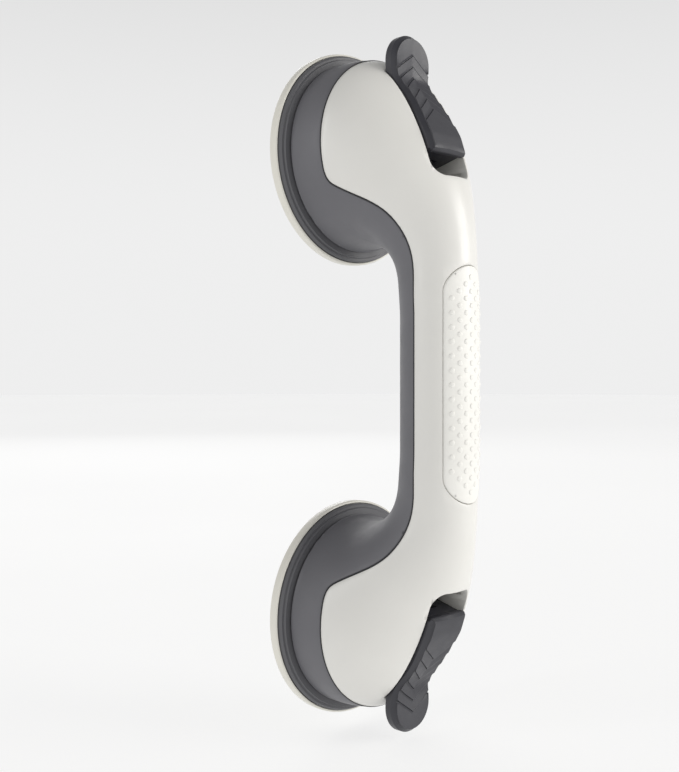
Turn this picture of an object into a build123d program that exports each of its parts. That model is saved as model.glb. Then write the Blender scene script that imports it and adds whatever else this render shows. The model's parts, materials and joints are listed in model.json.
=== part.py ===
from build123d import *
from math import cos, hypot, radians, sin
import os

# Suction grab bar: a vertical handle with a lever-locked suction cup at each end.
# Millimetres. +Z runs up along the bar, the wall is the plane y = 0, and the bar stands
# out from it towards -Y. The origin lies on the wall, midway between the two cups.
# Everything is drawn for the upper cup and mirrored in the plane z = 0 for the lower one.

# ---- driving dimensions -------------------------------------------------------------
CUP_HEIGHT = 101.0        # z of the upper cup's axis: the cups are 202 apart
WALL = 2.5                # moulded wall of the cover and the back shell
GRIP_INNER = 37.5         # hand clearance between the wall and the grip
GRIP_OUTER = 71.5         # depth of the grip's front
GRIP_HALF_WIDTH = 16.0
HEAD_RADIUS = 42.0        # rim of the housing round a cup
HEAD_BASE = 7.6           # depth of that rim
PARTING_GRIP = 54.0       # depth of the joint between cover and back shell on the grip
PARTING_HEAD = 23.0       # and round the head
PARTING_KNEE = 43.0       # height where the joint leaves the grip
PARTING_RIM = 91.0        # height where it reaches the head
PARTING_BEND = ((60.5, 51.3), (72, 44.5), (78.5, 34.5), (83, 26.3))
PARTING_GAP = 0.15        # each side of the joint

PAD_RADIUS = 47.5
PAD_RIM = 3.4             # thickness of the pad's rim under the base ring
PAD_LAND = 38.0           # inside this radius the pad lifts off the wall
PAD_LIFT = 3.5            # height of the locked pad's hollow
PAD_SKIN = 2.0            # thickness of the pad's membrane
PAD_FLAT = 15.0           # the hollow's roof is flat inside this radius
HUB_RADIUS = 12.0         # boss in the middle of the pad
HUB_TOP = 8.9
PAD_EDGE = 0.4            # bevel of the rim's front edge

RING_RADIUS = 46.2
RING_BODY_TOP = 6.0       # depth of the ring's front round the housing's rim
RING_BODY_RADIUS = 44.6
RING_STEP = 0.7           # bevel of its outer edge
RING_SEAT_RADIUS = 44.2   # the housing's rim stands inside this radius
RING_SEAT_TOP = 6.9
SPIGOT_RADIUS = 37.6      # low wall inside the housing that centres it on the ring
SPIGOT_WALL = 1.8
SPIGOT_TOP = 11.0
RING_PLATE = 6.2          # depth of the ring plate's underside
RING_PLATE_TOP = 8.6
TOWER_TOP = 28.0          # the tower that carries the lever's thrust
TOWER_CEILING = 24.5
TOWER_RADIUS = 16.0
TOWER_BORE = 13.4

CAM_PLATE_TOP = 29.8
CAM_PLATE_RADIUS = 14.0

PIVOT_DEPTH = 42.0        # depth of the lever's pin while locked
PIN_RADIUS = 2.5
PIN_CLEARANCE = 0.05
CAM_RADIUS = 12.0         # pin to cam plate while locked
STEM_TRAVEL = 3.5         # how far the pad's middle goes back to the wall
LEVER_SWING = 85.0        # degrees
PIN_HALF_LENGTH = 10.6
EYE_RADIUS = 5.6
EYE_HALF_WIDTH = 4.1
STEM_HALF = 4.0           # half the stem's square
STEM_PLAY = 0.3           # round the square in the ring's tower
PLATE_PLAY = 0.5          # round the square in the cam plate
STEM_FOOT_RADIUS = 9.5    # the foot is moulded into the pad's hub
STEM_FOOT = 5.05
STEM_FOOT_TOP = 7.45
STEM_NECK_RADIUS = 5.0
STEM_FLANGE_RADIUS = 10.5
STEM_FLANGE = 9.05
STEM_FLANGE_TOP = 10.5
MOULD_GAP = 0.15          # between the stem and the pad moulded round it
FORK_HALF_GAP = 4.6       # half the gap between the lever's two lobes
FORK_REACH = 7.5          # the gap's length beyond the pin
FORK_TOP = 49.5           # depth where the two lobes join
LEVER_HALF_WIDTH = 11.3
LEVER_INNER_END = 95.2
LEVER_INNER_TOP = 61.2
LEVER_INNER_ROUND = 2.0
LEVER_UNDERCUT = (97.0, 55.5)
LEVER_BEVEL = 1.6
LEVER_CROWN = ((131.2, 40.0), (125.5, 44.0), (116, 51.2), (106, 57.2))
LEVER_WAIST_START = 106.0
LEVER_WAIST = (10.1, 124.0)   # half-width and height of its narrowest place
LEVER_HEEL = ((109.5, 34.2), (113, 40.3))
LEVER_ARM_UNDER = (129.0, 35.3)
PADDLE_START = 134.0
PADDLE_TOP_START = 137.0
LEVER_TIP = 150.4
PADDLE_RADIUS = 12.0
PADDLE_TOP = 39.3
PADDLE_UNDER = 34.7

SLOT_HALF_WIDTH = 12.1
SLOT_END = 86.5
SLOT_CORNER = 6.0
SLOT_FLOOR = ((114.5, 38.9), (130, 33.7), (165, 33.2))
WELL_WALL = 2.0
WELL_START = 84.0
WELL_DEPTH = 36.0
LIP_DEPTH = 57.0          # the slot's end wall stops here, clear of the turning lever
SWEEP_END = 90.0

RING_SCREW_X = 24.0
RING_SCREW_Z = 14.0
SCREW_RADIUS = 1.5
SCREW_HEAD_RADIUS = 3.2
RING_SCREW_END = 24.0
RING_SCREW_HEAD = 1.8
RING_POST_RADIUS = 4.0
GRIP_SCREW_Z = 30.0
GRIP_SCREW_START = 38.3
GRIP_SCREW_SEAT = 40.5
GRIP_SCREW_END = 55.0
GRIP_SOCKET_RADIUS = 3.6
GRIP_BOSS_RADIUS = 5.2
GRIP_BOSS_END = 45.9
GRIP_POST_RADIUS = 3.8
GRIP_POST_START = 46.2
DRIVE_RADIUS = 1.1        # recess for the driver
DRIVE_DEPTH = 1.2
THREAD_PLAY = 0.1
TIP_ROOM = 1.0            # beyond a screw's end

GRIP_PAD_HALF_LENGTH = 49.0
GRIP_PAD_HALF_WIDTH = 11.4
GRIP_PAD_THICKNESS = 1.2
GRIP_PAD_PROUD = 0.25
GRIP_PAD_GAP = 0.3

LIP_REACH = 2.5           # the back shell's lip inside the joint, both ways
LIP_INSET = 0.12
LIP_THICKNESS = 1.2

SPRING_WIRE = 0.6
SPRING_RADIUS = 8.0
SPRING_TURNS = 4.0
SPRING_GAP = 0.15         # at each end of the locked spring

# The housing is a tube that bends from the grip into the head and flares into the rim.
# Each section is an ellipse across the bend: the height and depth of its inner point,
# the height and depth of its outer point, and its half-width across the bar.
# The grip is straight up to the first section, and the second one only holds its direction.
GRIP_STRAIGHT = 27.0
SECTIONS = (
    (GRIP_STRAIGHT, GRIP_INNER, GRIP_STRAIGHT, GRIP_OUTER, GRIP_HALF_WIDTH),
    (GRIP_STRAIGHT + 2, GRIP_INNER, GRIP_STRAIGHT + 2, GRIP_OUTER, GRIP_HALF_WIDTH),
    (38, 37.0, 50, 70.8, 16.3),
    (49, 35.5, 75, 67.8, 18.5),
    (56, 31.5, 96, 61.0, 25.0),
    (60, 25.0, 116, 51.0, 32.0),
    (61, 19.0, 132, 39.0, 37.3),
    (60.3, 13.0, 141, 26.0, 40.4),
    (59, HEAD_BASE, 143, HEAD_BASE, HEAD_RADIUS),
)

# Limits beyond the whole bar, for the blocks that cut it.
ABOVE = 165.0
BEYOND = 100.0
ASIDE = 70.0

os.makedirs("parts", exist_ok=True)


def side(height, depth):
    """A point of a side view, drawn on Plane.YZ."""
    return (-depth, height)


def radial(radius, depth):
    """A point of a profile turned about the upper cup's axis, drawn on Plane.YZ."""
    return (-depth, CUP_HEIGHT + radius)


CUP_AXIS = Axis((0, 0, CUP_HEIGHT), (0, 1, 0))


def facing_wall(depth):
    """A plane parallel to the wall at this depth: x to the right, y up, normal to the wall's front."""
    return Plane(origin=(0, -depth, 0), x_dir=(1, 0, 0), z_dir=(0, -1, 0))


def save(piece, name):
    piece.label = name
    export_step(piece, f"parts/{name}.step")


def save_pair(piece, name):
    """Write a piece of the upper cup and its mirror image for the lower one."""
    save(piece, f"upper_{name}")
    with BuildPart() as lower:
        mirror(piece, about=Plane.XY)
    save(lower.part, f"lower_{name}")


# ---- housing ------------------------------------------------------------------------
def section_sketch(section, inset, shift):
    """Half of one elliptical section, on the +X side of the bar's plane of symmetry."""
    z_in, d_in, z_out, d_out, half_width = section
    half = hypot(z_out - z_in, d_out - d_in) / 2
    outward = Vector(0, -(d_out - d_in) / 2 / half, (z_out - z_in) / 2 / half)
    middle = Vector(0, -(d_in + d_out) / 2, (z_in + z_out) / 2) + shift
    plane = Plane(origin=middle, x_dir=(1, 0, 0), z_dir=outward.cross(Vector(1, 0, 0)))
    wide = half_width - inset
    tall = half - inset
    with BuildSketch(plane) as sketch:
        with BuildLine():
            EllipticalCenterArc((0, 0), wide, tall, start_angle=-90, arc_size=180)
            Line((0, -tall), (0, tall))
        make_face()
    return sketch.sketch.faces()[0]


def envelope(inset, overrun=0.0):
    """The upper half of the housing's outer shape, or the same shape inset by a wall."""
    still = Vector(0, 0, 0)
    faces = [section_sketch(section, inset, still) for section in SECTIONS[:-1]]
    faces.append(section_sketch(SECTIONS[-1], inset, Vector(0, overrun, 0)))
    with BuildPart() as shape:
        loft(faces)
        extrude(faces[0], amount=GRIP_STRAIGHT + overrun, dir=(0, 0, -1))
        mirror(about=Plane.YZ)
    return shape.part


def front_region(shift):
    """All that lies in front of the joint between cover and back shell, moved back by shift."""
    with BuildPart() as region:
        with BuildSketch(Plane.YZ):
            with BuildLine():
                foot = side(-1, PARTING_GRIP - shift)
                knee = side(PARTING_KNEE - shift, PARTING_GRIP - shift)
                rim = side(PARTING_RIM - shift, PARTING_HEAD - shift)
                bend = [side(z - shift, d - shift) for z, d in PARTING_BEND]
                Line(foot, knee)
                Spline(knee, *bend, rim, tangents=((0, 1), (0, 1)))
                Polyline(rim, side(ABOVE, PARTING_HEAD - shift), side(ABOVE, BEYOND), side(-1, BEYOND), foot)
            make_face()
        extrude(amount=ASIDE, both=True)
    return region.part


def prism(points, half_width):
    """A side-view polygon drawn out across the bar."""
    with BuildPart() as block:
        with BuildSketch(Plane.YZ):
            with BuildLine():
                Polyline(*[side(z, d) for z, d in points], close=True)
            make_face()
        extrude(amount=half_width, both=True)
    return block.part


def racetrack(half_width, half_length, near, far):
    """An upright slot shape centred on the bar, between two depths."""
    with BuildPart() as block:
        with BuildSketch(facing_wall(near)):
            SlotOverall(2 * half_length, 2 * half_width, rotation=90)
        extrude(amount=far - near)
    return block.part


def slot_prism(half_width, end, corner, near, far):
    """The lever's slot seen from the front: open at the top, with rounded lower corners."""
    with BuildPart() as block:
        with BuildSketch(facing_wall(near)):
            with Locations((0, (end + ABOVE) / 2)):
                Rectangle(2 * half_width, ABOVE - end)
        extrude(amount=far - near)
        corners = block.edges().filter_by(Axis.Y).group_by(Axis.Z)[0]
        fillet(corners, corner)
    return block.part


outer = envelope(0)
inner = envelope(WALL, overrun=3)
skin = outer - inner


def lever_well():
    """Walls and floor round the lever's slot, inside the cover's skin."""
    floor_start = SLOT_FLOOR[0][0]
    under_floor = [(z, d - WELL_WALL) for z, d in SLOT_FLOOR]
    under_start = (floor_start, WELL_DEPTH)
    walls = ((WELL_START, WELL_DEPTH), under_start, *under_floor, (ABOVE, BEYOND), (WELL_START, BEYOND))
    sweep_room = ((0, LIP_DEPTH), (SWEEP_END, LIP_DEPTH), (SWEEP_END, 0), (0, 0))
    half_width = SLOT_HALF_WIDTH + WELL_WALL
    with BuildPart() as well:
        add(slot_prism(half_width, SLOT_END - WELL_WALL, SLOT_CORNER + WELL_WALL, 0, BEYOND))
        add(prism(walls, half_width), mode=Mode.INTERSECT)
        add(prism(sweep_room, SLOT_HALF_WIDTH), mode=Mode.SUBTRACT)
        add(outer, mode=Mode.INTERSECT)
    return well.part


def slot_void():
    """The room that the lever needs: open to the mechanism below the cup's axis, floored beyond it."""
    floor_start = SLOT_FLOOR[0][0]
    room = ((0, PARTING_HEAD), (floor_start, PARTING_HEAD), *SLOT_FLOOR, (ABOVE, BEYOND), (0, BEYOND))
    with BuildPart() as void:
        add(slot_prism(SLOT_HALF_WIDTH, SLOT_END, SLOT_CORNER, PARTING_HEAD, BEYOND))
        add(prism(room, SLOT_HALF_WIDTH), mode=Mode.INTERSECT)
    return void.part


def boss(x, z, radius, near, far):
    """A round post square to the wall, between two depths."""
    with BuildPart() as post:
        with BuildSketch(facing_wall(near)):
            with Locations((x, z)):
                Circle(radius)
        extrude(amount=far - near)
    return post.part


RING_SCREW_PLACES = [
    (sx * RING_SCREW_X, CUP_HEIGHT + sz * RING_SCREW_Z) for sx in (-1, 1) for sz in (-1, 1)
]

with BuildPart() as half_cover:
    add(skin)
    add(front_region(-PARTING_GAP), mode=Mode.INTERSECT)
    add(lever_well())
    posts = []
    for x, z in RING_SCREW_PLACES:
        posts.append(boss(x, z, RING_POST_RADIUS, RING_PLATE_TOP, GRIP_OUTER) & outer)
    grip_post = boss(0, GRIP_SCREW_Z, GRIP_POST_RADIUS, GRIP_POST_START, GRIP_OUTER)
    posts.append(grip_post & envelope(GRIP_PAD_THICKNESS + 1))
    add(posts)
    add(slot_void(), mode=Mode.SUBTRACT)
    for x, z in RING_SCREW_PLACES:
        add(boss(x, z, SCREW_RADIUS, RING_PLATE_TOP, RING_SCREW_END + TIP_ROOM), mode=Mode.SUBTRACT)
    add(boss(0, GRIP_SCREW_Z, SCREW_RADIUS, GRIP_POST_START, GRIP_SCREW_END + TIP_ROOM), mode=Mode.SUBTRACT)



def both_halves(half):
    """A closed shape of the whole bar from its upper half."""
    return half + mirror(half, about=Plane.XY, mode=Mode.PRIVATE)


grip_pad_pocket = racetrack(
    GRIP_PAD_HALF_WIDTH + GRIP_PAD_GAP, GRIP_PAD_HALF_LENGTH + GRIP_PAD_GAP, PARTING_GRIP + 1, BEYOND
)
under_pad = both_halves(envelope(GRIP_PAD_THICKNESS, overrun=3))

with BuildPart() as front_cover:
    add(half_cover.part)
    mirror(about=Plane.XY)
    add(grip_pad_pocket - under_pad, mode=Mode.SUBTRACT)
save(front_cover.part, "front_cover")

with BuildPart() as grip_pad:
    add(racetrack(GRIP_PAD_HALF_WIDTH, GRIP_PAD_HALF_LENGTH, PARTING_GRIP + 1, BEYOND))
    add(both_halves(envelope(-GRIP_PAD_PROUD)), mode=Mode.INTERSECT)
    add(under_pad, mode=Mode.SUBTRACT)
save(grip_pad.part, "grip_pad")


# ---- back shell ---------------------------------------------------------------------
with BuildPart() as lip:
    add(envelope(WALL + LIP_INSET, overrun=3))
    add(envelope(WALL + LIP_THICKNESS, overrun=6), mode=Mode.SUBTRACT)
    add(front_region(LIP_REACH), mode=Mode.INTERSECT)
    add(front_region(-LIP_REACH), mode=Mode.SUBTRACT)

with BuildPart() as lip_root:
    add(envelope(WALL / 2, overrun=3))
    add(envelope(WALL + LIP_THICKNESS, overrun=6), mode=Mode.SUBTRACT)
    add(front_region(LIP_REACH), mode=Mode.INTERSECT)
    add(front_region(PARTING_GAP), mode=Mode.SUBTRACT)

with BuildPart() as half_back:
    add(skin)
    add(front_region(PARTING_GAP), mode=Mode.SUBTRACT)
    add(lip.part)
    add(lip_root.part)
    add(boss(0, GRIP_SCREW_Z, GRIP_BOSS_RADIUS, GRIP_INNER - 1, GRIP_BOSS_END) & outer)
    add(boss(0, GRIP_SCREW_Z, GRIP_SOCKET_RADIUS, GRIP_INNER - 1, GRIP_SCREW_SEAT), mode=Mode.SUBTRACT)
    add(boss(0, GRIP_SCREW_Z, SCREW_RADIUS + THREAD_PLAY, GRIP_INNER, GRIP_BOSS_END), mode=Mode.SUBTRACT)

with BuildPart() as back_shell:
    add(half_back.part)
    mirror(about=Plane.XY)
save(back_shell.part, "back_shell")

with BuildPart() as grip_screws:
    for z in (-GRIP_SCREW_Z, GRIP_SCREW_Z):
        head = boss(0, z, SCREW_HEAD_RADIUS, GRIP_SCREW_START, GRIP_SCREW_SEAT)
        shank = boss(0, z, SCREW_RADIUS, GRIP_SCREW_SEAT, GRIP_SCREW_END)
        drive = boss(0, z, DRIVE_RADIUS, GRIP_SCREW_START, GRIP_SCREW_START + DRIVE_DEPTH)
        add((head + shank) - drive)
save(grip_screws.part, "grip_screws")


# ---- base ring: clamps the pad's rim and carries the lever's thrust -----------------
with BuildPart() as base_ring:
    with BuildSketch(Plane.YZ):
        with BuildLine():
            Polyline(
                radial(TOWER_BORE, RING_PLATE),
                radial(PAD_LAND - 2, RING_PLATE),
                radial(PAD_LAND + 2, PAD_RIM),
                radial(RING_RADIUS, PAD_RIM),
                radial(RING_RADIUS, RING_BODY_TOP - RING_STEP),
                radial(RING_RADIUS - RING_STEP, RING_BODY_TOP),
                radial(RING_BODY_RADIUS, RING_BODY_TOP),
                radial(RING_SEAT_RADIUS, RING_SEAT_TOP),
                radial(SPIGOT_RADIUS, RING_SEAT_TOP),
                radial(SPIGOT_RADIUS, SPIGOT_TOP),
                radial(SPIGOT_RADIUS - SPIGOT_WALL, SPIGOT_TOP),
                radial(SPIGOT_RADIUS - SPIGOT_WALL, RING_PLATE_TOP),
                radial(TOWER_RADIUS, RING_PLATE_TOP),
                radial(TOWER_RADIUS, TOWER_TOP),
                radial(0, TOWER_TOP),
                radial(0, TOWER_CEILING),
                radial(TOWER_BORE, TOWER_CEILING),
                close=True,
            )
        make_face()
    revolve(axis=CUP_AXIS)
    with BuildSketch(facing_wall(TOWER_CEILING)):
        with Locations((0, CUP_HEIGHT)):
            Rectangle(2 * (STEM_HALF + STEM_PLAY), 2 * (STEM_HALF + STEM_PLAY))
    extrude(amount=TOWER_TOP - TOWER_CEILING, mode=Mode.SUBTRACT)
    for x, z in RING_SCREW_PLACES:
        add(boss(x, z, SCREW_RADIUS + THREAD_PLAY, RING_PLATE, RING_PLATE_TOP), mode=Mode.SUBTRACT)
save_pair(base_ring.part, "base_ring")

with BuildPart() as cam_plate:
    with BuildSketch(facing_wall(TOWER_TOP)):
        with Locations((0, CUP_HEIGHT)):
            Circle(CAM_PLATE_RADIUS)
            Rectangle(2 * (STEM_HALF + PLATE_PLAY), 2 * (STEM_HALF + PLATE_PLAY), mode=Mode.SUBTRACT)
    extrude(amount=CAM_PLATE_TOP - TOWER_TOP)
save_pair(cam_plate.part, "cam_plate")

with BuildPart() as ring_screws:
    for x, z in RING_SCREW_PLACES:
        head = boss(x, z, SCREW_HEAD_RADIUS, RING_PLATE - RING_SCREW_HEAD, RING_PLATE)
        shank = boss(x, z, SCREW_RADIUS, RING_PLATE, RING_SCREW_END)
        add(head + shank)
save_pair(ring_screws.part, "ring_screws")


# ---- suction pad: a soft disc, drawn up in the middle while it is locked -------------
with BuildPart() as suction_pad:
    with BuildSketch(Plane.YZ):
        with BuildLine():
            Line(radial(PAD_RADIUS, 0), radial(PAD_LAND, 0))
            Spline(radial(PAD_LAND, 0), radial(PAD_FLAT, PAD_LIFT), tangents=((0, -1), (0, -1)))
            Polyline(
                radial(PAD_FLAT, PAD_LIFT),
                radial(0, PAD_LIFT),
                radial(0, STEM_FOOT - MOULD_GAP),
                radial(STEM_FOOT_RADIUS + MOULD_GAP, STEM_FOOT - MOULD_GAP),
                radial(STEM_FOOT_RADIUS + MOULD_GAP, STEM_FOOT_TOP + MOULD_GAP),
                radial(STEM_NECK_RADIUS + MOULD_GAP, STEM_FOOT_TOP + MOULD_GAP),
                radial(STEM_NECK_RADIUS + MOULD_GAP, HUB_TOP),
                radial(HUB_RADIUS, HUB_TOP),
                radial(HUB_RADIUS, PAD_LIFT + PAD_SKIN),
            )
            Spline(
                radial(HUB_RADIUS, PAD_LIFT + PAD_SKIN),
                radial(PAD_LAND + 1, PAD_SKIN),
                tangents=((0, 1), (0, 1)),
            )
            Polyline(
                radial(PAD_LAND + 1, PAD_SKIN),
                radial(PAD_LAND + 4, PAD_RIM),
                radial(RING_RADIUS + 0.1, PAD_RIM),
                radial(RING_RADIUS + 0.1, PAD_RIM + PAD_EDGE),
                radial(RING_RADIUS + PAD_EDGE, PAD_RIM + 2 * PAD_EDGE),
                radial(PAD_RADIUS - PAD_EDGE, PAD_RIM + PAD_EDGE),
                radial(PAD_RADIUS, 0),
            )
        make_face()
    revolve(axis=CUP_AXIS)
save_pair(suction_pad.part, "suction_pad")


# ---- stem: moulded into the pad, with the eye that the lever's pin passes through ---
with BuildPart() as pad_stem:
    with BuildSketch(Plane.YZ):
        with BuildLine():
            Polyline(
                radial(0, STEM_FOOT),
                radial(STEM_FOOT_RADIUS, STEM_FOOT),
                radial(STEM_FOOT_RADIUS, STEM_FOOT_TOP),
                radial(STEM_NECK_RADIUS, STEM_FOOT_TOP),
                radial(STEM_NECK_RADIUS, STEM_FLANGE),
                radial(STEM_FLANGE_RADIUS, STEM_FLANGE),
                radial(STEM_FLANGE_RADIUS, STEM_FLANGE_TOP),
                radial(0, STEM_FLANGE_TOP),
                close=True,
            )
        make_face()
    revolve(axis=CUP_AXIS)
    with BuildSketch(facing_wall(STEM_FLANGE_TOP)):
        with Locations((0, CUP_HEIGHT)):
            Rectangle(2 * STEM_HALF, 2 * STEM_HALF)
    extrude(amount=PIVOT_DEPTH - STEM_FLANGE_TOP)
    with BuildSketch(Plane.YZ):
        with Locations(side(CUP_HEIGHT, PIVOT_DEPTH)):
            Circle(EYE_RADIUS)
    extrude(amount=EYE_HALF_WIDTH, both=True)
    with BuildSketch(Plane.YZ):
        with Locations(side(CUP_HEIGHT, PIVOT_DEPTH)):
            Circle(PIN_RADIUS)
    extrude(amount=EYE_HALF_WIDTH, both=True, mode=Mode.SUBTRACT)
save_pair(pad_stem.part, "pad_stem")

with BuildPart() as lever_pin:
    with BuildSketch(Plane.YZ):
        with Locations(side(CUP_HEIGHT, PIVOT_DEPTH)):
            Circle(PIN_RADIUS)
    extrude(amount=PIN_HALF_LENGTH, both=True)
save_pair(lever_pin.part, "lever_pin")

with BuildPart() as return_spring:
    low = STEM_FLANGE_TOP + SPRING_WIRE + SPRING_GAP
    length = TOWER_CEILING - SPRING_WIRE - SPRING_GAP - low
    with BuildLine():
        coil = Helix(length / SPRING_TURNS, length, SPRING_RADIUS, (0, -low, CUP_HEIGHT), (0, -1, 0))
    with BuildSketch(Plane(origin=coil @ 0, z_dir=coil % 0)):
        Circle(SPRING_WIRE)
    sweep(path=coil)
save_pair(return_spring.part, "return_spring")


# ---- lever: two cam lobes on the pin, an arm in the slot and a paddle beyond it ------
CAM_RATE = STEM_TRAVEL / radians(LEVER_SWING)
CAM_SPARE = 5.0           # degrees of cam beyond the swing
CAM_STEPS = 6


def cam_point(turn):
    """The cam's outline where it bears on the plate once the lever has turned this far."""
    reach = CAM_RADIUS - CAM_RATE * turn
    z = -sin(turn) * reach + cos(turn) * CAM_RATE
    d = -cos(turn) * reach - sin(turn) * CAM_RATE
    return side(CUP_HEIGHT + z, PIVOT_DEPTH + d)


def on_crown_rim(edge):
    """True for the edges between the lever's crown and its sides, round to the paddle's tip."""
    box = edge.bounding_box()
    in_front = -box.max.Y > PADDLE_TOP - 0.1
    beyond_end = box.min.Z > LEVER_INNER_END - 1 and box.size.Z > 0.1
    aside = abs(edge.center().X) > LEVER_WAIST[0] - 1 and box.size.X < EYE_HALF_WIDTH
    round_tip = edge.geom_type == GeomType.CIRCLE and box.max.Z > LEVER_TIP - 0.1
    return in_front and (round_tip or (beyond_end and aside and edge.geom_type != GeomType.CIRCLE))


with BuildPart() as lever:
    with BuildSketch(Plane.YZ):
        with BuildLine():
            cam_turns = [radians(LEVER_SWING + CAM_SPARE) * k / CAM_STEPS for k in range(CAM_STEPS, -1, -1)]
            cam = Spline(*[cam_point(turn) for turn in cam_turns])
            heel = Spline(cam @ 1, *[side(z, d) for z, d in LEVER_HEEL], tangents=(cam % 1, (-0.6, 1)))
            Polyline(
                heel @ 1,
                side(*LEVER_ARM_UNDER),
                side(PADDLE_START, PADDLE_UNDER),
                side(LEVER_TIP, PADDLE_UNDER),
                side(LEVER_TIP, PADDLE_TOP),
                side(PADDLE_TOP_START, PADDLE_TOP),
            )
            crown = Spline(
                side(PADDLE_TOP_START, PADDLE_TOP),
                *[side(z, d) for z, d in LEVER_CROWN],
                side(LEVER_INNER_END, LEVER_INNER_TOP),
                tangents=((0, -1), (-0.36, -1)),
            )
            Polyline(crown @ 1, side(*LEVER_UNDERCUT), cam @ 0)
        make_face()
    extrude(amount=PADDLE_RADIUS + 1, both=True)
    with BuildSketch(facing_wall(0)):
        with BuildLine():
            paddle = LEVER_TIP - PADDLE_RADIUS
            Polyline((0, 0), (LEVER_HALF_WIDTH, 0), (LEVER_HALF_WIDTH, LEVER_WAIST_START))
            Spline(
                (LEVER_HALF_WIDTH, LEVER_WAIST_START),
                LEVER_WAIST,
                (PADDLE_RADIUS, paddle),
                tangents=((0, 1), (0, 1)),
            )
            RadiusArc((PADDLE_RADIUS, paddle), (0, LEVER_TIP), -PADDLE_RADIUS)
            Line((0, LEVER_TIP), (0, 0))
        make_face()
        mirror(about=Plane.YZ)
    extrude(amount=BEYOND, mode=Mode.INTERSECT)
    fork_end = CUP_HEIGHT + FORK_REACH
    fork_gap = ((0, 0), (fork_end, 0), (fork_end, FORK_TOP), (0, FORK_TOP))
    add(prism(fork_gap, FORK_HALF_GAP), mode=Mode.SUBTRACT)
    with BuildSketch(Plane.YZ):
        with Locations(side(CUP_HEIGHT, PIVOT_DEPTH)):
            Circle(PIN_RADIUS + PIN_CLEARANCE)
    extrude(amount=PADDLE_RADIUS, both=True, mode=Mode.SUBTRACT)
    chamfer([edge for edge in lever.edges() if on_crown_rim(edge)], LEVER_BEVEL)
    fillet(lever.edges().filter_by(Axis.X).sort_by(Axis.Y)[0], LEVER_INNER_ROUND)
save_pair(lever.part, "lever")
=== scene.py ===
import json
from math import cos, pi, radians, sin, tan

import bmesh
import bpy
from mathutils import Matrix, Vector
from mathutils.bvhtree import BVHTree


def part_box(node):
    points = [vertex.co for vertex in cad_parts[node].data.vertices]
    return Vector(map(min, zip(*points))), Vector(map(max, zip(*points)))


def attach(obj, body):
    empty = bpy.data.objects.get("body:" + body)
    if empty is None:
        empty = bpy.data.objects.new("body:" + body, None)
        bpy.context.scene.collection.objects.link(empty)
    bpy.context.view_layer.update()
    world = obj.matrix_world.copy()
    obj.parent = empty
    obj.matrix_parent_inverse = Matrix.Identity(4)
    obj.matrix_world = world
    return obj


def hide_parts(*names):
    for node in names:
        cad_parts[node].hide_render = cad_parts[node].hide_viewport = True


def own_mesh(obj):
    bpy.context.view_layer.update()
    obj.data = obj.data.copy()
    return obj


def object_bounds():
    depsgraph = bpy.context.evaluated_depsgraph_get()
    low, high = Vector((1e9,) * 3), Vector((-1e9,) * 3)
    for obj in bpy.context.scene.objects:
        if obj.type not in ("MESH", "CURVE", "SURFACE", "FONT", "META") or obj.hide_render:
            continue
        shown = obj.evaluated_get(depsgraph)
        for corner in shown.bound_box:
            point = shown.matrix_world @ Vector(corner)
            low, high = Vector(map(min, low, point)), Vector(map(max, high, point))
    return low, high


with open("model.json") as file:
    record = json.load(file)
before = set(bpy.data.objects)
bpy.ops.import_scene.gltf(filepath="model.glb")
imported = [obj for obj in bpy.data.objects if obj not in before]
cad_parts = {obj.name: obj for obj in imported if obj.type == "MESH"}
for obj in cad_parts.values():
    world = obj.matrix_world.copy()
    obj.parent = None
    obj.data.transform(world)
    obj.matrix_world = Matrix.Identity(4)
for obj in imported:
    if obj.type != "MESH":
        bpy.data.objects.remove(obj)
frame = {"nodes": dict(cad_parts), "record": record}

# Looks of the suction grab bar. Metres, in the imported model's frame: +Z up along the bar,
# the wall is the plane y = 0 and the bar stands out from it towards -Y.

MM = 0.001
scene = bpy.context.scene
cad_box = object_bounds()
ENDS = {"upper": 1, "lower": -1}

# ---- camera: level, seen from the left front -----------------------------------------
CAMERA_PLACE = (-0.3605, -0.3505, 0.0075)
CAMERA_YAW = radians(45.43)
CAMERA_LENS = 51.3
CAMERA_SHIFT = -0.0253
CAMERA_NEAR = 10 * MM

# ---- light: an even pale surround, dimmer overhead, and three lamps ------------------
SURROUND_LEVEL = 0.86
ZENITH_LEVEL = 0.25
DIM_FROM = 0.1                # the surround starts to dim where its direction is this high
DIM_TO = 0.95
LIT_POINT = (0, -0.03, 0)
LAMPS = (                     # name, place, (width, height), power, colour
    ("key", (1.15, -1.85, 0.60), (1.3, 1.2), 27.0, (1.0, 0.985, 0.96)),
    ("rim", (0.9, 1.6, 0.80), (1.2, 1.0), 6.0, (1, 1, 1)),
    ("strip", (-1.3, 0.35, 0.60), (0.2, 1.0), 2.5, (1, 1, 1)),
)

# ---- floor: as pale as the surround --------------------------------------------------
FLOOR_RADIUS = 6.0
FLOOR_SEGMENTS = 128
FLOOR_DROP = 4 * MM           # under the model's lowest point
FLOOR_GLOW = 0.72
FLOOR_COLOURS = ((0.25, 0.25, 0.247), (0.27, 0.27, 0.267))
FLOOR_ROUGHNESS = (0.7, 0.8)
FLOOR_SPECULAR = 0.2
FLOOR_CLOUD_SIZE = 0.6
FLOOR_GLOSS_SIZE = 0.3

# ---- materials: sizes of their patterns ----------------------------------------------
NOISE_LOW = 0.3               # most of a noise's values lie between these two
NOISE_HIGH = 0.7
COAT_ROUGHNESS = 0.2
CLOUD_SIZE = 35 * MM
GLOSS_SIZE = 6 * MM
WAVE_SIZE = 22 * MM
WAVE_DEPTH = 0.05 * MM
MARK_SIZE = 0.6 * MM
MARK_DEPTH = 0.01 * MM
TARNISH_SIZE = 4 * MM

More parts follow.
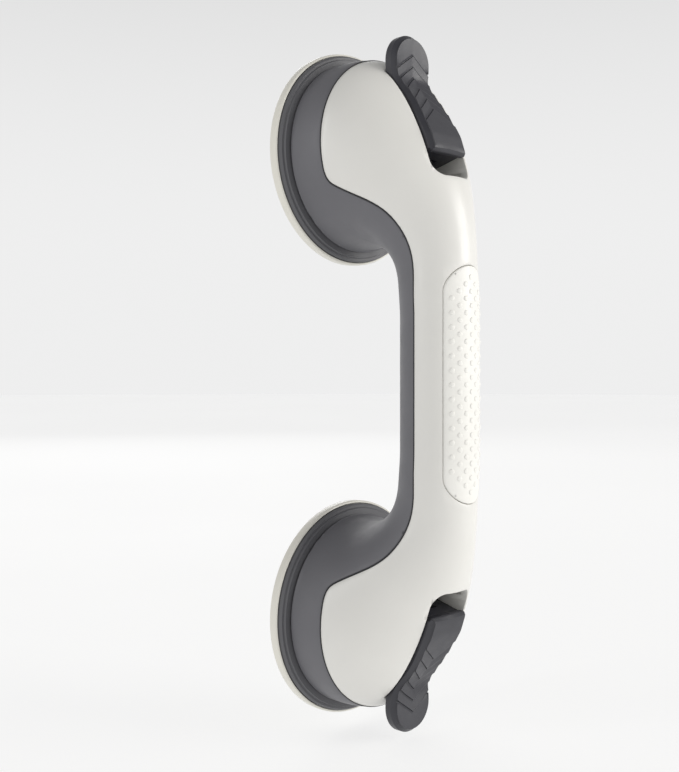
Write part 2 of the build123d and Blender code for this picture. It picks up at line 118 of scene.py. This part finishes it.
# ---- moulded edges that catch the light ----------------------------------------------
SOFT_EDGES = {"front_cover": 0.4 * MM, "back_shell": 0.4 * MM, "grip_pad": 0.3 * MM}
SOFT_ANGLE = 35
SOFT_SEGMENTS = 2
WELD_DISTANCE = 0.001 * MM

# ---- joint between the two shells: a dark bead, painted shadow of the gap ------------
JOINT_ANGLE = radians(30)     # the cover's surface turns at least this far at its edge
JOINT_REACH = 0.55 * MM       # the shells' edges lie closer to each other than this
JOINT_SHORTEST = 2
JOINT_RADIUS = 0.24 * MM
JOINT_SIDES = 8
JOINT_SHARP = 60
NEARLY_PARALLEL = 0.1         # unit vectors with a shorter cross product than this

# ---- grip insert: columns of low domes -----------------------------------------------
BUMP_COLUMNS = ((0, 16), (1, 15), (2, 14), (3, 13))    # columns from the middle, domes
BUMP_COLUMN_PITCH = 3.05 * MM
BUMP_PITCH = 5.9 * MM
BUMP_RADIUS = 1.2 * MM
BUMP_HEIGHT = 0.4 * MM
BUMP_FOOT = 0.3               # share of the height that a dome's foot goes into the insert
BUMP_FOOT_POWER = 4
BUMP_RINGS = 5
BUMP_SEGMENTS = 20
BUMP_SHARP = 40

# ---- levers: raised grip face with six chevrons, from the pivot side to the tip ------
CHEVRONS = 6
CHEVRON_FIRST = 15.5 * MM     # from the cup's axis to the first chevron's point
CHEVRON_PITCH = 4.95 * MM
CHEVRON_SLOPE = tan(radians(34.5))
CHEVRON_RAMP = 0.25           # share of the pitch that steps down
CHEVRON_STEPS = ((0, 0), (0.03, 0.95), (0.07, 0.95), (0.10, 0.6), (CHEVRON_RAMP, 0.85), (1, 0))
CHEVRON_ROWS = (0.42, 0.62, 0.82)    # shares of the pitch with further rows of points
CHEVRON_DEPTH = 0.6 * MM
PADDLE_RADIUS = 12 * MM
FACE_START = 4.2 * MM         # from the lever's inner end to the face
FACE_LEAD = 1.0 * MM          # the rows have their full slope this far before a chevron
FACE_PROUD = 0.7 * MM         # the grip face stands this far over the lever's body
FACE_SINK = 1.0 * MM
FACE_RISE_START = 0.25        # share of that height at the face's inner end
FACE_RISE_RUN = 2.5 * MM
FACE_FADE = 1.5               # power with which the last step fades towards the tip
FACE_BEVEL = 0.35 * MM
FACE_BEVEL_ANGLE = 60
FACE_BEVEL_SEGMENTS = 3
FACE_SHARP = 18
FACE_COLUMNS = 26
FACE_END_ROWS = 12
ROW_PASSES = 4                # a point's height and the width there settle in these passes
ROW_PAST = 0.0001 * MM        # a row that starts a step is measured just past it
LEVER_EDGE = 0.15 * MM        # the lever's 45 degree bevel is found this far down
RAY_START = 10 * MM           # rays start this far in front of a piece
RAY_ASIDE = 30 * MM
RAY_INSET = 0.999             # rays keep this far inside the outline
RAY_TIP_INSET = 0.97          # where a ray still misses, round the tip

# ---- suction pads: rim on the wall, hub on the stem, a ribbed dish between them ------
LAND_WIDTH = 9.5 * MM         # flat ring that seals on the wall
RIM_FOOT = ((-2.2 * MM, 0), (-0.5 * MM, 0.05 * MM), (-0.06 * MM, 0.5 * MM), (0, 1.0 * MM))
RIM_GAP = 0.05 * MM           # between the rim and its seat on the base ring
RIM_LIP = 0.9 * MM            # radius of the lip round the base ring's edge
RIM_LIP_STEPS = 5
RIM_NECK = 1.25 * MM          # from the outer edge to the inside of the lip
RIM_SHOULDER = 3.5 * MM       # from the land's inner edge to the seat
RIM_SEGMENTS = 160
DISH_SEGMENTS = 120
DISH_DEPTH = 3.5 * MM
DISH_STEPS = 100
DISH_FLAT = 0.38              # share of the dish's radius that is flat
DISH_OVERLAP = 0.3 * MM
MEMBRANE_THICKNESS = 2.0 * MM
WALL_CLEARANCE = 0.02 * MM
RIB_RADII = (15 * MM, 20 * MM, 25 * MM, 30 * MM)
RIB_HALF_WIDTH = 0.8 * MM
RIB_HEIGHT = 0.7 * MM
GROOVE_WIDTH = 1.6 * MM
GROOVE_DEPTH = 1.2 * MM
HUB_RADIUS = 12.0 * MM
HUB_CHAMFER = 0.5 * MM
HUB_OVERLAP = 1.0 * MM        # the membrane goes this far into the hub
HUB_SEAT_RADIUS = 9.8 * MM    # shallow seat for the stem's foot
HUB_SEAT_DEPTH = 0.2 * MM
AXIS_GAP = 0.2 * MM
PAD_SHARP = 50


# ---- materials -----------------------------------------------------------------------
class Shade:
    """A principled material with object coordinates for its patterns."""

    def __init__(self, name, metallic=0.0, coat=0.0, specular=0.5):
        self.material = bpy.data.materials.new(name)
        self.material.use_nodes = True
        self.tree = self.material.node_tree
        self.shader = self.tree.nodes["Principled BSDF"]
        self.shader.inputs["Metallic"].default_value = metallic
        self.shader.inputs["Coat Weight"].default_value = coat
        self.shader.inputs["Coat Roughness"].default_value = COAT_ROUGHNESS
        self.shader.inputs["Specular IOR Level"].default_value = specular
        self.coords = self.tree.nodes.new("ShaderNodeTexCoord").outputs["Object"]
        self.relief = None

    def link(self, source, target):
        self.tree.links.new(source, target)

    def noise(self, size, detail, stretch=(1, 1, 1)):
        """Noise whose features are about this size."""
        mapping = self.tree.nodes.new("ShaderNodeMapping")
        mapping.inputs["Scale"].default_value = stretch
        self.link(self.coords, mapping.inputs["Vector"])
        node = self.tree.nodes.new("ShaderNodeTexNoise")
        node.inputs["Scale"].default_value = 1 / size
        node.inputs["Detail"].default_value = detail
        self.link(mapping.outputs["Vector"], node.inputs["Vector"])
        return node.outputs["Fac"]

    def colour(self, source, dark, light):
        """Colour from dark to light with a noise."""
        ramp = self.tree.nodes.new("ShaderNodeValToRGB")
        ramp.color_ramp.elements[0].position = NOISE_LOW
        ramp.color_ramp.elements[1].position = NOISE_HIGH
        ramp.color_ramp.elements[0].color = (*dark, 1)
        ramp.color_ramp.elements[1].color = (*light, 1)
        self.link(source, ramp.inputs["Fac"])
        self.link(ramp.outputs["Color"], self.shader.inputs["Base Color"])

    def rough(self, source, low, high):
        """Roughness from low to high with a noise."""
        node = self.tree.nodes.new("ShaderNodeMapRange")
        node.inputs["From Min"].default_value = NOISE_LOW
        node.inputs["From Max"].default_value = NOISE_HIGH
        node.inputs["To Min"].default_value = low
        node.inputs["To Max"].default_value = high
        self.link(source, node.inputs["Value"])
        self.link(node.outputs["Result"], self.shader.inputs["Roughness"])

    def bump(self, source, depth):
        """Relief of this depth from a noise, on top of any relief added before."""
        node = self.tree.nodes.new("ShaderNodeBump")
        node.inputs["Distance"].default_value = depth
        self.link(source, node.inputs["Height"])
        if self.relief is not None:
            self.link(self.relief, node.inputs["Normal"])
        self.relief = node.outputs["Normal"]
        self.link(self.relief, self.shader.inputs["Normal"])


def moulded(name, dark, light, rough, grain, grain_depth, coat=0.0):
    """Moulded plastic: faint cloudiness, a fine spark-eroded grain and slow waviness."""
    shade = Shade(name, coat=coat)
    shade.colour(shade.noise(CLOUD_SIZE, detail=4), dark, light)
    shade.rough(shade.noise(GLOSS_SIZE, detail=5), *rough)
    shade.bump(shade.noise(WAVE_SIZE, detail=2), WAVE_DEPTH)
    shade.bump(shade.noise(grain, detail=4), grain_depth)
    return shade.material


def metal(name, dark, light, rough, stretch):
    """Steel with fine drawn or turned marks."""
    shade = Shade(name, metallic=1.0)
    marks = shade.noise(MARK_SIZE, detail=6, stretch=stretch)
    shade.colour(shade.noise(TARNISH_SIZE, detail=4), dark, light)
    shade.rough(marks, *rough)
    shade.bump(marks, MARK_DEPTH)
    return shade.material


FINISHES = {
    "cover_plastic": moulded(
        "warm_white_abs", dark=(0.72, 0.71, 0.675), light=(0.75, 0.74, 0.705), rough=(0.30, 0.38),
        grain=0.5 * MM, grain_depth=0.006 * MM, coat=0.12),
    "shell_plastic": moulded(
        "grey_abs", dark=(0.122, 0.121, 0.132), light=(0.136, 0.135, 0.147), rough=(0.42, 0.52),
        grain=0.4 * MM, grain_depth=0.02 * MM),
    "ring_plastic": moulded(
        "dark_grey_abs", dark=(0.098, 0.098, 0.106), light=(0.112, 0.112, 0.120), rough=(0.40, 0.50),
        grain=0.4 * MM, grain_depth=0.02 * MM),
    "lever_plastic": moulded(
        "charcoal_nylon", dark=(0.030, 0.030, 0.037), light=(0.038, 0.038, 0.046), rough=(0.36, 0.46),
        grain=0.3 * MM, grain_depth=0.025 * MM),
    "stem_plastic": moulded(
        "natural_acetal", dark=(0.66, 0.65, 0.60), light=(0.70, 0.69, 0.64), rough=(0.30, 0.40),
        grain=0.8 * MM, grain_depth=0.01 * MM),
    "grip_elastomer": moulded(
        "soft_white_elastomer", dark=(0.80, 0.79, 0.75), light=(0.84, 0.83, 0.79), rough=(0.40, 0.50),
        grain=0.4 * MM, grain_depth=0.01 * MM),
    "pad_elastomer": moulded(
        "cream_elastomer", dark=(0.72, 0.70, 0.63), light=(0.77, 0.75, 0.68), rough=(0.28, 0.36),
        grain=1.2 * MM, grain_depth=0.01 * MM, coat=0.2),
    "pin_steel": metal(
        "ground_steel", dark=(0.52, 0.52, 0.53), light=(0.60, 0.60, 0.61), rough=(0.22, 0.34),
        stretch=(12, 1, 1)),
    "plate_steel": metal(
        "stainless_sheet", dark=(0.50, 0.50, 0.50), light=(0.58, 0.58, 0.57), rough=(0.26, 0.40),
        stretch=(1, 1, 14)),
    "spring_steel": metal(
        "spring_wire", dark=(0.36, 0.36, 0.37), light=(0.46, 0.46, 0.47), rough=(0.28, 0.40),
        stretch=(1, 1, 1)),
    "screw_steel": metal(
        "zinc_plate", dark=(0.46, 0.47, 0.48), light=(0.56, 0.57, 0.58), rough=(0.30, 0.45),
        stretch=(1, 8, 1)),
}
# Near-black finish of the joint bead: painted shadow of the gap between the two shells.
joint_shadow_finish = moulded(
    "painted_joint_shadow", dark=(0.010, 0.010, 0.012), light=(0.014, 0.014, 0.016), rough=(0.50, 0.60),
    grain=0.4 * MM, grain_depth=0.005 * MM)


# ---- mesh helpers --------------------------------------------------------------------
def new_piece(name, verts, faces, body, material, sharp):
    """A mesh piece with smooth faces that rides on a body."""
    mesh = bpy.data.meshes.new(name)
    mesh.from_pydata([tuple(v) for v in verts], [], faces)
    mesh.validate()
    build = bmesh.new()
    build.from_mesh(mesh)
    bmesh.ops.recalc_face_normals(build, faces=build.faces)
    build.to_mesh(mesh)
    build.free()
    piece = bpy.data.objects.new(name, mesh)
    scene.collection.objects.link(piece)
    mesh.shade_smooth()
    mesh.set_sharp_from_angle(angle=radians(sharp))
    mesh.materials.append(material)
    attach(piece, body)
    return piece


def bevel(piece, width, angle, segments, clamp):
    """Round the edges of a piece by a small radius."""
    mod = piece.modifiers.new("edges", "BEVEL")
    mod.width = width
    mod.segments = segments
    mod.limit_method = "ANGLE"
    mod.angle_limit = radians(angle)
    mod.use_clamp_overlap = clamp


def surface_of(node):
    """A tree of a CAD node's faces, for casting rays onto it."""
    mesh = frame["nodes"][node].data
    faces = [tuple(polygon.vertices) for polygon in mesh.polygons]
    return BVHTree.FromPolygons([v.co for v in mesh.vertices], faces)


def turned(profile, centre, segments):
    """A closed profile of (radius, depth) points, turned about an axis square to the wall."""
    verts, faces = [], []
    count = len(profile)
    for k in range(segments):
        turn = 2 * pi * k / segments
        for radius, depth in profile:
            verts.append((centre.x + radius * sin(turn), -depth, centre.z + radius * cos(turn)))
    for k in range(segments):
        here, there = k * count, (k + 1) % segments * count
        for i in range(count):
            j = (i + 1) % count
            faces.append((here + i, here + j, there + j, there + i))
    return verts, faces


def plate(grid, depth):
    """A plate between a grid of points and the same grid moved back by a depth."""
    length = len(grid[0])
    verts = [point for row in grid for point in row]
    faces = []
    for j in range(len(grid) - 1):
        for i in range(length - 1):
            a = j * length + i
            faces.append((a, a + 1, a + length + 1, a + length))
    count = len(verts)
    verts += [(x, y + depth, z) for x, y, z in verts]
    faces += [tuple(count + v for v in face[::-1]) for face in faces]
    rim = list(range(length))
    rim += [j * length + length - 1 for j in range(1, len(grid))]
    rim += [(len(grid) - 1) * length + i for i in range(length - 2, -1, -1)]
    rim += [j * length for j in range(len(grid) - 2, 0, -1)]
    for a, b in zip(rim, rim[1:] + rim[:1]):
        faces.append((a, a + count, b + count, b))
    return verts, faces


# ---- CAD nodes -----------------------------------------------------------------------
def finish_cad_nodes():
    """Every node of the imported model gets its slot's finish, and some get soft edges."""
    for part in frame["record"]["subparts"]:
        node = frame["nodes"][part["node"]]
        node.data.materials.clear()
        node.data.materials.append(FINISHES[part["material_slot"]])
    for name, width in SOFT_EDGES.items():
        node = frame["nodes"][name]
        node.modifiers.new("welded", "WELD").merge_threshold = WELD_DISTANCE
        bevel(node, width, SOFT_ANGLE, SOFT_SEGMENTS, clamp=False)


# ---- joint between the two shells: a dark bead, painted shadow of the gap ------------
def joint_edges(build):
    """Pairs of vertex numbers of the cover's edges that lie open beside the back shell."""
    cover, shell = surface_of("front_cover"), surface_of("back_shell")
    pairs = []
    for edge in build.edges:
        if len(edge.link_faces) != 2 or edge.calc_face_angle(0) < JOINT_ANGLE:
            continue
        middle = (edge.verts[0].co + edge.verts[1].co) / 2
        if shell.find_nearest(middle)[3] > JOINT_REACH:
            continue
        outward = min((face.normal for face in edge.link_faces), key=lambda normal: normal.y)
        start = middle + outward * JOINT_REACH
        if cover.ray_cast(start, outward)[0] is None and shell.ray_cast(start, outward)[0] is None:
            pairs.append((edge.verts[0].index, edge.verts[1].index))
    return pairs


def chained(pairs):
    """Join pairs of vertex numbers into lines, each with whether it closes on itself."""
    beside = {}
    for a, b in pairs:
        beside.setdefault(a, []).append(b)
        beside.setdefault(b, []).append(a)
    lines, used = [], set()
    for start in sorted(beside):
        if start in used:
            continue
        line, here = [], start
        while here is not None:
            line.append(here)
            used.add(here)
            here = next((v for v in beside[here] if v not in used), None)
        if len(line) > JOINT_SHORTEST:
            lines.append((line, start in beside[line[-1]]))
    return lines


def add_bead(points, closed, verts, faces):
    """A thin round bead along a line of points, added to a list of vertices and faces."""
    count = len(points)
    first = len(verts)
    for k, point in enumerate(points):
        ahead = points[(k + 1) % count] if closed or k < count - 1 else point
        behind = points[k - 1] if closed or k else point
        along = (ahead - behind).normalized()
        across = along.cross(Vector((1, 0, 0)))
        if across.length < NEARLY_PARALLEL:
            across = along.cross(Vector((0, 1, 0)))
        across.normalize()
        other = along.cross(across)
        for side in range(JOINT_SIDES):
            turn = 2 * pi * side / JOINT_SIDES
            verts.append(point + (across * cos(turn) + other * sin(turn)) * JOINT_RADIUS)
    for k in range(count if closed else count - 1):
        here, there = first + k * JOINT_SIDES, first + (k + 1) % count * JOINT_SIDES
        for side in range(JOINT_SIDES):
            after = (side + 1) % JOINT_SIDES
            faces.append((here + side, here + after, there + after, there + side))


def joint_shadow_line():
    """A fine dark bead along the outer edge where the cover meets the back shell: painted shadow of
    the gap between them.
    """
    build = bmesh.new()
    build.from_mesh(frame["nodes"]["front_cover"].data)
    bmesh.ops.remove_doubles(build, verts=build.verts, dist=WELD_DISTANCE)
    build.verts.index_update()
    build.verts.ensure_lookup_table()
    verts, faces = [], []
    for line, closed in chained(joint_edges(build)):
        add_bead([build.verts[v].co.copy() for v in line], closed, verts, faces)
    build.free()
    new_piece("joint_shadow_line", verts, faces, "bar", joint_shadow_finish, JOINT_SHARP)


# ---- grip insert ---------------------------------------------------------------------
def add_dome(point, normal, verts, faces):
    """A low dome that stands on a surface, added to a list of vertices and faces."""
    across = normal.cross(Vector((0, 0, 1))).normalized()
    along = across.cross(normal)
    first = len(verts)
    verts.append(point + normal * BUMP_HEIGHT)
    for ring in range(1, BUMP_RINGS + 1):
        share = ring / BUMP_RINGS
        radius = BUMP_RADIUS * sin(share * pi / 2)
        height = BUMP_HEIGHT * (cos(share * pi / 2) - BUMP_FOOT * share ** BUMP_FOOT_POWER)
        for k in range(BUMP_SEGMENTS):
            turn = 2 * pi * k / BUMP_SEGMENTS
            verts.append(point + normal * height + (across * cos(turn) + along * sin(turn)) * radius)
    start = first + 1
    for k in range(BUMP_SEGMENTS):
        faces.append((first, start + k, start + (k + 1) % BUMP_SEGMENTS))
    for ring in range(BUMP_RINGS - 1):
        row = start + ring * BUMP_SEGMENTS
        below = row + BUMP_SEGMENTS
        for k in range(BUMP_SEGMENTS):
            after = (k + 1) % BUMP_SEGMENTS
            faces.append((row + k, below + k, below + after, row + after))
    base = start + (BUMP_RINGS - 1) * BUMP_SEGMENTS
    faces.append([base + k for k in range(BUMP_SEGMENTS)][::-1])


def grip_bumps():
    """Staggered columns of domes on the insert, each square to its curved surface."""
    tree = surface_of("grip_pad")
    low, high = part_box("grip_pad")
    middle = (low.z + high.z) / 2
    verts, faces = [], []
    for column, count in BUMP_COLUMNS:
        for side in ((0,) if column == 0 else (-1, 1)):
            for k in range(count):
                x = side * column * BUMP_COLUMN_PITCH
                z = middle + (k - (count - 1) / 2) * BUMP_PITCH
                start = Vector((x, low.y - RAY_START, z))
                point, normal, _, _ = tree.ray_cast(start, Vector((0, 1, 0)))
                add_dome(point, normal, verts, faces)
    new_piece("grip_bumps", verts, faces, "bar", FINISHES["grip_elastomer"], BUMP_SHARP)


# ---- levers --------------------------------------------------------------------------
class LeverFront:
    """The front of a CAD lever, measured with rays. Heights z run up towards its tip."""

    def __init__(self, end, sign):
        low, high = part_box(f"{end}_lever")
        self.tree = surface_of(f"{end}_lever")
        self.sign = sign
        self.front = low.y
        self.inner = min(sign * low.z, sign * high.z)
        self.centre = max(sign * low.z, sign * high.z) - PADDLE_RADIUS
        self.radius = self.half_width(self.centre)
        self.widths = {}

    def top(self, x, z):
        """Depth of the lever's front surface at a point, or None beside the lever."""
        start = Vector((x, self.front - RAY_START, self.sign * z))
        hit = self.tree.ray_cast(start, Vector((0, 1, 0)))[0]
        return hit.y if hit else None

    def half_width(self, z):
        """Half the flat width of the lever's front: its bevel starts there."""
        start = Vector((RAY_ASIDE, self.top(0, z) + LEVER_EDGE, self.sign * z))
        hit = self.tree.ray_cast(start, Vector((-1, 0, 0)))[0]
        return hit.x - LEVER_EDGE

    def width_at(self, z):
        """The half width, measured once per tenth of a millimetre. The tip is round."""
        key = round(z, 4)
        if key not in self.widths:
            self.widths[key] = self.radius if z >= self.centre else self.half_width(z)
        return self.widths[key]

    def in_row(self, share, height, slope):
        """Height and x of a point of a V-shaped row that starts at a height in the middle."""
        z = height
        for _ in range(ROW_PASSES):
            z = height - slope * abs(share) * self.width_at(z)
        return z, share * self.width_at(z)

    def on_outline(self, share, edge_z):
        """Height and x of a point of the outline, which runs from edge_z round the tip."""
        straight = max(0.0, self.centre - edge_z)
        arc = pi * self.radius
        whole = 2 * straight + arc
        run = share * whole
        if run < straight:
            return edge_z + run, -self.width_at(edge_z + run)
        if run > straight + arc:
            return edge_z + whole - run, self.width_at(edge_z + whole - run)
        turn = (run - straight) / self.radius
        return self.centre + self.radius * sin(turn), -self.radius * cos(turn)

    def over(self, x, z, lift):
        """A point this far over the lever's front."""
        y = self.top(x * RAY_INSET, z)
        if y is None:
            y = self.top(x * RAY_TIP_INSET, self.centre + (z - self.centre) * RAY_TIP_INSET)
        return x, y - lift, self.sign * z


def cup_height():
    """Height of the upper cup's axis."""
    low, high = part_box("upper_base_ring")
    return (low.z + high.z) / 2


def face_rows(start, first):
    """Rows across the face up to the last step: (height in the middle, slope of the V)."""
    ramp_end = first - FACE_LEAD
    rows = []
    for k in range(FACE_END_ROWS):
        height = start + (ramp_end - start) * k / FACE_END_ROWS
        blend = (height - start) / (ramp_end - start)
        rows.append((height, CHEVRON_SLOPE * blend))
    rows.append((first - FACE_LEAD / 2, CHEVRON_SLOPE))
    for k in range(CHEVRONS):
        line = first + k * CHEVRON_PITCH
        marks = [phase for phase, _ in CHEVRON_STEPS[:-1]]
        if k < CHEVRONS - 1:
            marks += CHEVRON_ROWS
        rows += [(line + mark * CHEVRON_PITCH, CHEVRON_SLOPE) for mark in marks]
    return rows


def chevron_drop(height, first):
    """How far the chevrons lower the face at a height in the middle."""
    if height <= first:
        return 0.0
    if height >= first + (CHEVRONS - 1 + CHEVRON_RAMP) * CHEVRON_PITCH:
        return CHEVRON_DEPTH
    phase = ((height - first) / CHEVRON_PITCH) % 1
    for (low_phase, low_drop), (high_phase, high_drop) in zip(CHEVRON_STEPS, CHEVRON_STEPS[1:]):
        if phase <= high_phase:
            break
    share = (phase - low_phase) / (high_phase - low_phase)
    return CHEVRON_DEPTH * (low_drop + (high_drop - low_drop) * share)


def lever_face(end, sign):
    """The raised face of a lever, built from V-shaped rows that follow its chevrons."""
    lever = LeverFront(end, sign)
    start = lever.inner + FACE_START
    first = cup_height() + CHEVRON_FIRST
    shares = [2 * i / FACE_COLUMNS - 1 for i in range(FACE_COLUMNS + 1)]

    rows = []
    for height, slope in face_rows(start, first):
        rise = min(1.0, (height - start) / FACE_RISE_RUN)
        proud = FACE_PROUD * (FACE_RISE_START + (1 - FACE_RISE_START) * rise * (2 - rise))
        lift = proud - chevron_drop(height + ROW_PAST, first)
        rows.append([(*lever.in_row(share, height, slope), lift) for share in shares])

    # Beyond the last chevron the rows spread out to the paddle's round end.
    last_row = rows[-1]
    edge_z = last_row[0][0]
    for k in range(1, FACE_END_ROWS + 1):
        out = k / FACE_END_ROWS
        lift = FACE_PROUD - CHEVRON_DEPTH * (1 - out) ** FACE_FADE
        row = []
        for share, (z0, x0, _) in zip(shares, last_row):
            z, x = lever.on_outline((share + 1) / 2, edge_z)
            row.append((z0 + (z - z0) * out, x0 + (x - x0) * out, lift))
        rows.append(row)

    grid = [[lever.over(x, z, lift) for z, x, lift in row] for row in rows]
    verts, faces = plate(grid, FACE_PROUD + FACE_SINK)
    finish = FINISHES["lever_plastic"]
    piece = new_piece(
        f"{end}_lever_face", verts, faces, f"{end}_lever_arm", finish, FACE_SHARP)
    bevel(piece, FACE_BEVEL, FACE_BEVEL_ANGLE, FACE_BEVEL_SEGMENTS, clamp=True)


# ---- suction pads --------------------------------------------------------------------
def rim_profile(outer, seat):
    """The rim: a flat land on the wall, a rounded lip and a seat for the base ring."""
    land = outer - LAND_WIDTH
    back = seat - RIM_GAP
    profile = [(land, 0.0)]
    profile += [(outer + aside, depth) for aside, depth in RIM_FOOT]
    for k in range(RIM_LIP_STEPS + 1):
        turn = pi / 2 * k / RIM_LIP_STEPS
        profile.append((outer - RIM_LIP + RIM_LIP * cos(turn), back + RIM_LIP * sin(turn)))
    profile += [(outer - RIM_NECK, back), (land + RIM_SHOULDER, back), (land, MEMBRANE_THICKNESS)]
    return profile


def hub_profile(top):
    """The thick middle, moulded round the stem's foot."""
    roof = DISH_DEPTH
    return [
        (AXIS_GAP, roof),
        (HUB_RADIUS - HUB_CHAMFER, roof),
        (HUB_RADIUS, roof + HUB_CHAMFER),
        (HUB_RADIUS, top - HUB_CHAMFER),
        (HUB_RADIUS - HUB_CHAMFER, top),
        (HUB_SEAT_RADIUS, top),
        (AXIS_GAP, top - HUB_SEAT_DEPTH),
    ]


def membrane_profile(land):
    """The membrane: a shallow dish with ribs and a groove inside the land."""
    under, over = [], []
    for k in range(DISH_STEPS + 1):
        share = k / DISH_STEPS
        radius = AXIS_GAP + (land + DISH_OVERLAP) * share
        if radius <= HUB_RADIUS - HUB_OVERLAP:
            continue
        fall = max(0.0, (share - DISH_FLAT) / (1 - DISH_FLAT))
        dish = DISH_DEPTH * (1 - fall * fall * (3 - 2 * fall))
        rib = RIB_HEIGHT * max(0.0, *(1 - abs(radius - at) / RIB_HALF_WIDTH for at in RIB_RADII))
        groove = GROOVE_DEPTH if land - GROOVE_WIDTH < radius < land else 0.0
        under.append((radius, max(WALL_CLEARANCE, dish - rib + groove)))
        over.append((radius, dish + MEMBRANE_THICKNESS))
    return under + over[::-1]


def pad_pieces(end):
    """The pad's rim, which stays on the wall, its hub on the stem, and its membrane."""
    node = f"{end}_suction_pad"
    finish = FINISHES["pad_elastomer"]
    low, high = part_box(node)
    centre = (low + high) / 2
    outer = (high.x - low.x) / 2
    ring_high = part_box(f"{end}_base_ring")[1]

    verts, faces = turned(rim_profile(outer, -ring_high.y), centre, RIM_SEGMENTS)
    rim = new_piece(f"{end}_pad_rim", verts, faces, "bar", finish, PAD_SHARP)
    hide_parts(node)

    verts, faces = turned(hub_profile(-low.y), centre, DISH_SEGMENTS)
    hub = new_piece(f"{end}_pad_hub", verts, faces, f"{end}_stem", finish, PAD_SHARP)
    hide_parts(node)

    verts, faces = turned(membrane_profile(outer - LAND_WIDTH), centre, DISH_SEGMENTS)
    membrane = new_piece(f"{end}_pad_membrane", verts, faces, "bar", finish, PAD_SHARP)
    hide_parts(node)
    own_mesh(membrane)


# ---- stage, light and camera ---------------------------------------------------------
def stage_floor():
    """A plain pale floor just under the bar."""
    mesh = bpy.data.meshes.new("floor")
    build = bmesh.new()
    bmesh.ops.create_circle(build, cap_ends=True, segments=FLOOR_SEGMENTS, radius=FLOOR_RADIUS)
    build.to_mesh(mesh)
    build.free()
    floor = bpy.data.objects.new("floor", mesh)
    floor.location = (0, 0, cad_box[0][2] - FLOOR_DROP)
    scene.collection.objects.link(floor)
    shade = Shade("pale_floor", specular=FLOOR_SPECULAR)
    shade.colour(shade.noise(FLOOR_CLOUD_SIZE, detail=2), *FLOOR_COLOURS)
    shade.rough(shade.noise(FLOOR_GLOSS_SIZE, detail=2), *FLOOR_ROUGHNESS)
    shade.shader.inputs["Emission Color"].default_value = (1, 1, 1, 1)
    shade.shader.inputs["Emission Strength"].default_value = FLOOR_GLOW
    mesh.materials.append(shade.material)


def surround():
    """A white surround that dims towards the zenith."""
    world = bpy.data.worlds.new("studio")
    world.use_nodes = True
    nodes, links = world.node_tree.nodes, world.node_tree.links
    background = nodes["Background"]
    background.inputs["Color"].default_value = (1, 1, 1, 1)
    direction = nodes.new("ShaderNodeSeparateXYZ")
    links.new(nodes.new("ShaderNodeTexCoord").outputs["Generated"], direction.inputs[0])
    level = nodes.new("ShaderNodeMapRange")
    level.interpolation_type = "SMOOTHSTEP"
    level.inputs["From Min"].default_value = DIM_FROM
    level.inputs["From Max"].default_value = DIM_TO
    level.inputs["To Min"].default_value = SURROUND_LEVEL
    level.inputs["To Max"].default_value = ZENITH_LEVEL
    links.new(direction.outputs["Z"], level.inputs["Value"])
    links.new(level.outputs["Result"], background.inputs["Strength"])
    scene.world = world


def area_lamp(name, place, size, power, colour):
    """A soft rectangular lamp that faces the bar."""
    data = bpy.data.lights.new(name, "AREA")
    data.shape = "RECTANGLE"
    data.size, data.size_y = size
    data.energy = power
    data.color = colour
    lamp = bpy.data.objects.new(name, data)
    lamp.location = place
    lamp.rotation_euler = (Vector(LIT_POINT) - Vector(place)).to_track_quat("-Z", "Y").to_euler()
    scene.collection.objects.link(lamp)


def camera():
    """The level camera of the photo."""
    data = bpy.data.cameras.new("camera")
    data.lens = CAMERA_LENS
    data.shift_y = CAMERA_SHIFT
    data.clip_start = CAMERA_NEAR
    view = bpy.data.objects.new("camera", data)
    view.location = CAMERA_PLACE
    view.rotation_euler = (radians(90), 0, -CAMERA_YAW)
    scene.collection.objects.link(view)
    scene.camera = view


scene.view_settings.view_transform = "Standard"
finish_cad_nodes()
joint_shadow_line()
grip_bumps()
for end, sign in ENDS.items():
    lever_face(end, sign)
    pad_pieces(end)
stage_floor()
surround()
for lamp_row in LAMPS:
    area_lamp(*lamp_row)
camera()
